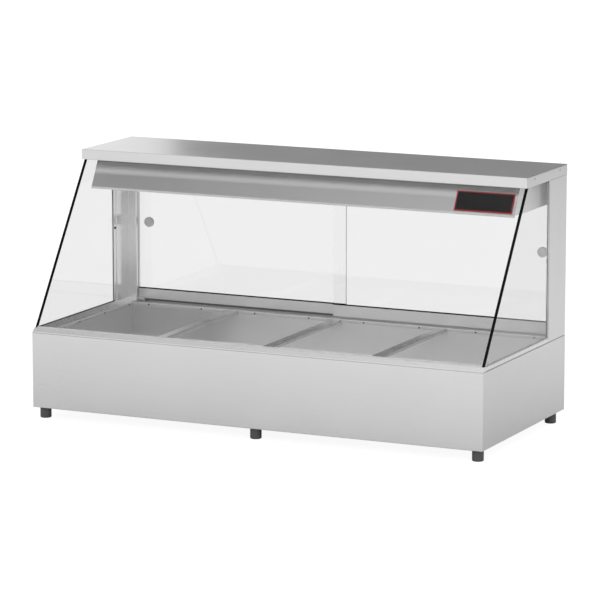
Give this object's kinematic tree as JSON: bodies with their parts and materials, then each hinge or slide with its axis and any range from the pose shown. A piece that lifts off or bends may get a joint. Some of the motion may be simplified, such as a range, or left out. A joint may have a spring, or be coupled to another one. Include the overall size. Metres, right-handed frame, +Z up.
{
  "type": "hot food display",
  "caption": "Countertop heated food display with a pan well, sloped glass front, glass sides, a lamp canopy under a steel top and sliding glass doors at the rear.",
  "frame": {"origin": "under the middle of the whole object, on the surface that the feet stand on", "axes": "+X to the viewer's right facing the front, +Y to the operator's side, +Z up"},
  "size_m": [1.355, 0.616, 0.722],
  "materials": {
    "casing_steel": "satin brushed stainless sheet",
    "well_steel": "drawn stainless sheet",
    "bright_reflector": "bright rolled",
    "clear_glass": "polished toughened",
    "black_seal": "matt",
    "grey_gasket": "matt",
    "clear_silicone": "translucent bead",
    "foot_rubber": "moulded",
    "fastener_steel": "plated",
    "dark_screw": "blackened",
    "track_aluminium": "satin anodised",
    "pile_black": "brush pile",
    "stop_nylon": "moulded",
    "pull_steel": "spun cup",
    "lamp_quartz": "quartz tube",
    "ceramic": "glazed ceramic",
    "element_sheath": "oxidised sheath",
    "control_black": "moulded",
    "rocker_green": "moulded, lit",
    "pilot_amber": "moulded lens",
    "terminal_plastic": "moulded"
  },
  "bodies": {
    "cabinet": {"base_shell": "casing_steel", "base_floor": "casing_steel", "rear_panel": "casing_steel", "deck": "casing_steel", "left_post": "casing_steel", "right_post": "casing_steel", "left_glass_channel": "casing_steel", "right_glass_channel": "casing_steel", "top_cap": "casing_steel", "lamp_canopy": "casing_steel", "foot_front_left": "foot_rubber", "foot_front_centre": "foot_rubber", "foot_front_right": "foot_rubber", "foot_rear_left": "foot_rubber", "foot_rear_centre": "foot_rubber", "foot_rear_right": "foot_rubber", "well_tank": "well_steel", "divider_cleats": "well_steel", "element_clamps": "well_steel", "front_glass": "clear_glass", "left_side_glass": "clear_glass", "right_side_glass": "clear_glass", "left_edge_seal": "black_seal", "right_edge_seal": "black_seal", "left_sill_gasket": "grey_gasket", "right_sill_gasket": "clear_silicone", "tank_screws": "dark_screw", "channel_bolts": "dark_screw", "foot_bolts": "fastener_steel", "cap_screws": "fastener_steel", "rear_panel_screws": "fastener_steel", "lower_door_track": "track_aluminium", "upper_door_track": "track_aluminium", "front_sill_gasket": "clear_silicone", "track_pile": "pile_black", "door_stops": "stop_nylon", "lamp_reflector": "bright_reflector", "heat_lamps": "lamp_quartz", "lamp_holders": "ceramic", "heating_elements": "element_sheath", "thermostat": "control_black", "thermostat_bulb": "fastener_steel", "terminal_block": "terminal_plastic", "heat_switch_housing": "control_black", "lamp_switch_housing": "control_black", "pilot_lamp": "pilot_amber", "cable_gland": "control_black"},
    "left_door": {"left_door_glass": "clear_glass", "left_door_shoe": "track_aluminium", "left_finger_pull": "pull_steel"},
    "right_door": {"right_door_glass": "clear_glass", "right_door_shoe": "track_aluminium", "right_finger_pull": "pull_steel"},
    "divider_bar_1": {"divider_bar_1": "well_steel"},
    "divider_bar_2": {"divider_bar_2": "well_steel"},
    "divider_bar_3": {"divider_bar_3": "well_steel"},
    "thermostat_knob": {"thermostat_knob": "control_black"},
    "heat_rocker": {"heat_rocker": "rocker_green"},
    "lamp_rocker": {"lamp_rocker": "rocker_green"}
  },
  "joints": [
    {"name": "left_door_slide", "type": "slide", "parent": "cabinet", "child": "left_door", "axis": [1, 0, 0], "range_m": [0, 0.608]},
    {"name": "right_door_slide", "type": "slide", "parent": "cabinet", "child": "right_door", "axis": [1, 0, 0], "range_m": [-0.608, 0]},
    {"name": "divider_bar_1_lift", "type": "slide", "parent": "cabinet", "child": "divider_bar_1", "axis": [0, 0, 1], "range_m": [0, 0.015]},
    {"name": "divider_bar_2_lift", "type": "slide", "parent": "cabinet", "child": "divider_bar_2", "axis": [0, 0, 1], "range_m": [0, 0.015]},
    {"name": "divider_bar_3_lift", "type": "slide", "parent": "cabinet", "child": "divider_bar_3", "axis": [0, 0, 1], "range_m": [0, 0.015]},
    {"name": "thermostat_turn", "type": "hinge", "parent": "cabinet", "child": "thermostat_knob", "pos_m": [-0.48, 0.292, 0.095], "axis": [0, -1, 0], "range_deg": [0, 270]},
    {"name": "heat_rocker_tip", "type": "hinge", "parent": "cabinet", "child": "heat_rocker", "pos_m": [-0.418, 0.291, 0.095], "axis": [1, 0, 0], "range_deg": [0, 20]},
    {"name": "lamp_rocker_tip", "type": "hinge", "parent": "cabinet", "child": "lamp_rocker", "pos_m": [-0.356, 0.291, 0.095], "axis": [1, 0, 0], "range_deg": [0, 20]}
  ]
}
